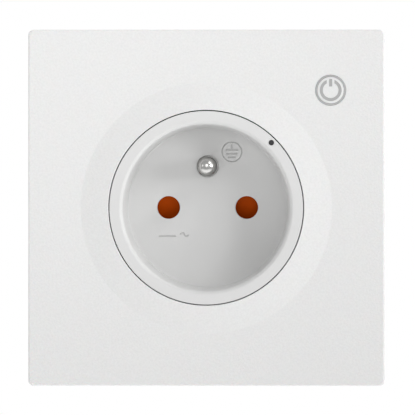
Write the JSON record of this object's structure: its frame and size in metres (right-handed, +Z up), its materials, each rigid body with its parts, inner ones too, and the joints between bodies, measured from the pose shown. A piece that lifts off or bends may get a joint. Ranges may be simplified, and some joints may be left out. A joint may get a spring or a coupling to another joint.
{
  "type": "smart wall socket",
  "caption": "Flush wall socket with a square faceplate, a round shuttered well, an earth pin, a push button with a light ring and relay electronics behind.",
  "frame": {"origin": "where the axis of the socket's well meets the wall surface, which is also the rear face of the mounting frame", "axes": "-Y points out of the wall towards the user, +Z up with the earth pin above the two pin holes, +X to the right seen from the front"},
  "size_m": [0.086, 0.0445, 0.086],
  "materials": {
    "white_plate": "fine spark-eroded texture",
    "white_insert": "smooth satin",
    "smoked_lens": "smoked, polished",
    "grey_diffuser": "translucent grey, satin",
    "grey_print": "flat grey inlay",
    "black_plastic": "moulded",
    "circuit_board": "green solder mask",
    "shield_can": "tinned",
    "led_body": "clear resin over phosphor",
    "ivory_plastic": "moulded",
    "zinc_screw": "zinc plated",
    "ribbon_sleeve": "laminated film",
    "zinc_sheet": "galvanised",
    "dark_housing": "moulded, fine texture",
    "nickel_brass": "nickel plated",
    "brass_strip": "stamped strip",
    "orange_shutter": "moulded",
    "spring_steel": "drawn wire",
    "relay_case": "moulded, satin",
    "capacitor_sleeve": "heat-shrunk sleeve",
    "film_case": "potted box",
    "ceramic_white": "ceramic body with plated caps",
    "cage_steel": "yellow passivated",
    "claw_zinc": "die cast, as cast"
  },
  "bodies": {
    "socket": {"faceplate": "white_plate", "socket_insert": "white_insert", "status_light_pipe": "smoked_lens", "button_light_ring": "grey_diffuser", "button_switch": "black_plastic", "control_board": "circuit_board", "wifi_module": "shield_can", "control_chips": "black_plastic", "indicator_leds": "led_body", "control_connector": "ivory_plastic", "board_screws": "zinc_screw", "ribbon_cable": "ribbon_sleeve", "mounting_frame": "zinc_sheet", "frame_screws": "zinc_screw", "chassis_plate": "dark_housing", "rear_housing": "dark_housing", "wire_entry_plate": "dark_housing", "earth_pin": "nickel_brass", "earth_strap": "brass_strip", "shutter_spring": "spring_steel", "shutter_cover": "ivory_plastic", "cover_screws": "zinc_screw", "contact_carrier": "ivory_plastic", "live_contact": "brass_strip", "neutral_contact": "brass_strip", "live_busbar": "brass_strip", "power_board": "circuit_board", "relay": "relay_case", "capacitors": "capacitor_sleeve", "film_capacitor": "film_case", "power_transformer": "black_plastic", "fuse": "ceramic_white", "power_connector": "ivory_plastic"},
    "button": {"button_cap": "white_plate", "button_icon": "grey_print", "switch_plunger": "white_insert"},
    "shutter": {"shutter": "orange_shutter"},
    "terminal_screw_left": {"terminal_screw_left": "zinc_screw"},
    "clamp_cage_left": {"clamp_cage_left": "cage_steel"},
    "terminal_screw_middle": {"terminal_screw_middle": "zinc_screw"},
    "clamp_cage_middle": {"clamp_cage_middle": "cage_steel"},
    "terminal_screw_right": {"terminal_screw_right": "zinc_screw"},
    "clamp_cage_right": {"clamp_cage_right": "cage_steel"},
    "claw_screw_left": {"claw_screw_left": "zinc_screw"},
    "claw_nut_left": {"claw_nut_left": "cage_steel"},
    "claw_left": {"claw_left": "claw_zinc"},
    "claw_screw_right": {"claw_screw_right": "zinc_screw"},
    "claw_nut_right": {"claw_nut_right": "cage_steel"},
    "claw_right": {"claw_right": "claw_zinc"}
  },
  "joints": [
    {"name": "button_press", "type": "slide", "parent": "socket", "child": "button", "axis": [0, 1, 0], "range_m": [0, 0.0003], "stiffness_N_per_m": 2000},
    {"name": "shutter_slide", "type": "slide", "parent": "socket", "child": "shutter", "axis": [0, 0, 1], "range_m": [0, 0.0062], "stiffness_N_per_m": 60, "springref_m": -0.003, "deforming": ["shutter_spring"]},
    {"name": "clamp_cage_left_slide", "type": "slide", "parent": "socket", "child": "clamp_cage_left", "axis": [0, 1, 0], "range_m": [0, 0.003]},
    {"name": "terminal_screw_left_turn", "type": "hinge", "parent": "socket", "child": "terminal_screw_left", "pos_m": [-0.0115, 0.031, -0.017], "axis": [0, -1, 0], "range_deg": [0, 1800]},
    {"name": "clamp_cage_middle_slide", "type": "slide", "parent": "socket", "child": "clamp_cage_middle", "axis": [0, 1, 0], "range_m": [0, 0.003]},
    {"name": "terminal_screw_middle_turn", "type": "hinge", "parent": "socket", "child": "terminal_screw_middle", "pos_m": [0, 0.031, -0.017], "axis": [0, -1, 0], "range_deg": [0, 1800]},
    {"name": "clamp_cage_right_slide", "type": "slide", "parent": "socket", "child": "clamp_cage_right", "axis": [0, 1, 0], "range_m": [0, 0.003]},
    {"name": "terminal_screw_right_turn", "type": "hinge", "parent": "socket", "child": "terminal_screw_right", "pos_m": [0.0115, 0.031, -0.017], "axis": [0, -1, 0], "range_deg": [0, 1800]},
    {"name": "claw_nut_left_slide", "type": "slide", "parent": "socket", "child": "claw_nut_left", "axis": [0, -1, 0], "range_m": [0, 0.005]},
    {"name": "claw_screw_left_turn", "type": "hinge", "parent": "socket", "child": "claw_screw_left", "pos_m": [-0.0259, 0, -0.011], "axis": [0, 1, 0], "range_deg": [0, 3600]},
    {"name": "claw_left_slide", "type": "slide", "parent": "socket", "child": "claw_left", "axis": [-0.5, -0.866, 0], "range_m": [0, 0.00577]},
    {"name": "claw_nut_right_slide", "type": "slide", "parent": "socket", "child": "claw_nut_right", "axis": [0, -1, 0], "range_m": [0, 0.005]},
    {"name": "claw_screw_right_turn", "type": "hinge", "parent": "socket", "child": "claw_screw_right", "pos_m": [0.0259, 0, -0.011], "axis": [0, 1, 0], "range_deg": [0, 3600]},
    {"name": "claw_right_slide", "type": "slide", "parent": "socket", "child": "claw_right", "axis": [0.5, -0.866, 0], "range_m": [0, 0.00577]}
  ],
  "couplings": [
    {"joint": "terminal_screw_left_turn", "follows": "clamp_cage_left_slide", "rad_per_m": 10472},
    {"joint": "terminal_screw_middle_turn", "follows": "clamp_cage_middle_slide", "rad_per_m": 10472},
    {"joint": "terminal_screw_right_turn", "follows": "clamp_cage_right_slide", "rad_per_m": 10472},
    {"joint": "claw_screw_left_turn", "follows": "claw_nut_left_slide", "rad_per_m": 12566},
    {"joint": "claw_left_slide", "follows": "claw_nut_left_slide", "ratio": 1.1547},
    {"joint": "claw_screw_right_turn", "follows": "claw_nut_right_slide", "rad_per_m": 12566},
    {"joint": "claw_right_slide", "follows": "claw_nut_right_slide", "ratio": 1.1547}
  ]
}
